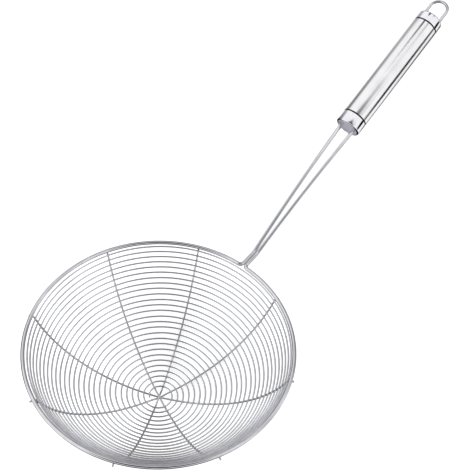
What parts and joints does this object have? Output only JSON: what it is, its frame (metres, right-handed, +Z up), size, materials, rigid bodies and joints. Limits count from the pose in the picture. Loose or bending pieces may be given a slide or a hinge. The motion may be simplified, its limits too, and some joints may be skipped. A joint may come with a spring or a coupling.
{
  "type": "spider skimmer",
  "caption": "Round basket of spiral wire on cross ribs, in a heavy wire rim that runs out into a narrow V shank, with a round hollow steel handle and a fixed hanging loop.",
  "frame": {"origin": "middle of the bounding box on the table that the skimmer lies on, bowl down, rim open upward and toward the handle", "axes": "+X from the bowl toward the handle's hanging loop, +Z up, +Y to the left"},
  "size_m": [0.4582, 0.2, 0.115],
  "materials": {
    "rim_steel": "polished",
    "basket_steel": "polished",
    "cap_steel": "polished",
    "grip_steel": "satin",
    "plug_steel": "satin",
    "loop_steel": "polished",
    "weld_steel": "matt",
    "spacer_ring": "matt"
  },
  "bodies": {
    "root": {"frame_wire": "rim_steel", "spiral_wire": "basket_steel", "rib_wire_1": "basket_steel", "rib_wire_2": "basket_steel", "rib_wire_3": "basket_steel", "rib_wire_4": "basket_steel", "neck_weld": "weld_steel", "front_cap": "cap_steel", "shank_plug": "plug_steel", "plug_weld_beads": "weld_steel", "front_spacer_ring": "spacer_ring", "grip_tube": "grip_steel", "rear_spacer_ring": "spacer_ring", "rear_cap": "cap_steel", "hanging_loop": "loop_steel", "loop_weld_beads": "weld_steel"}
  },
  "joints": []
}
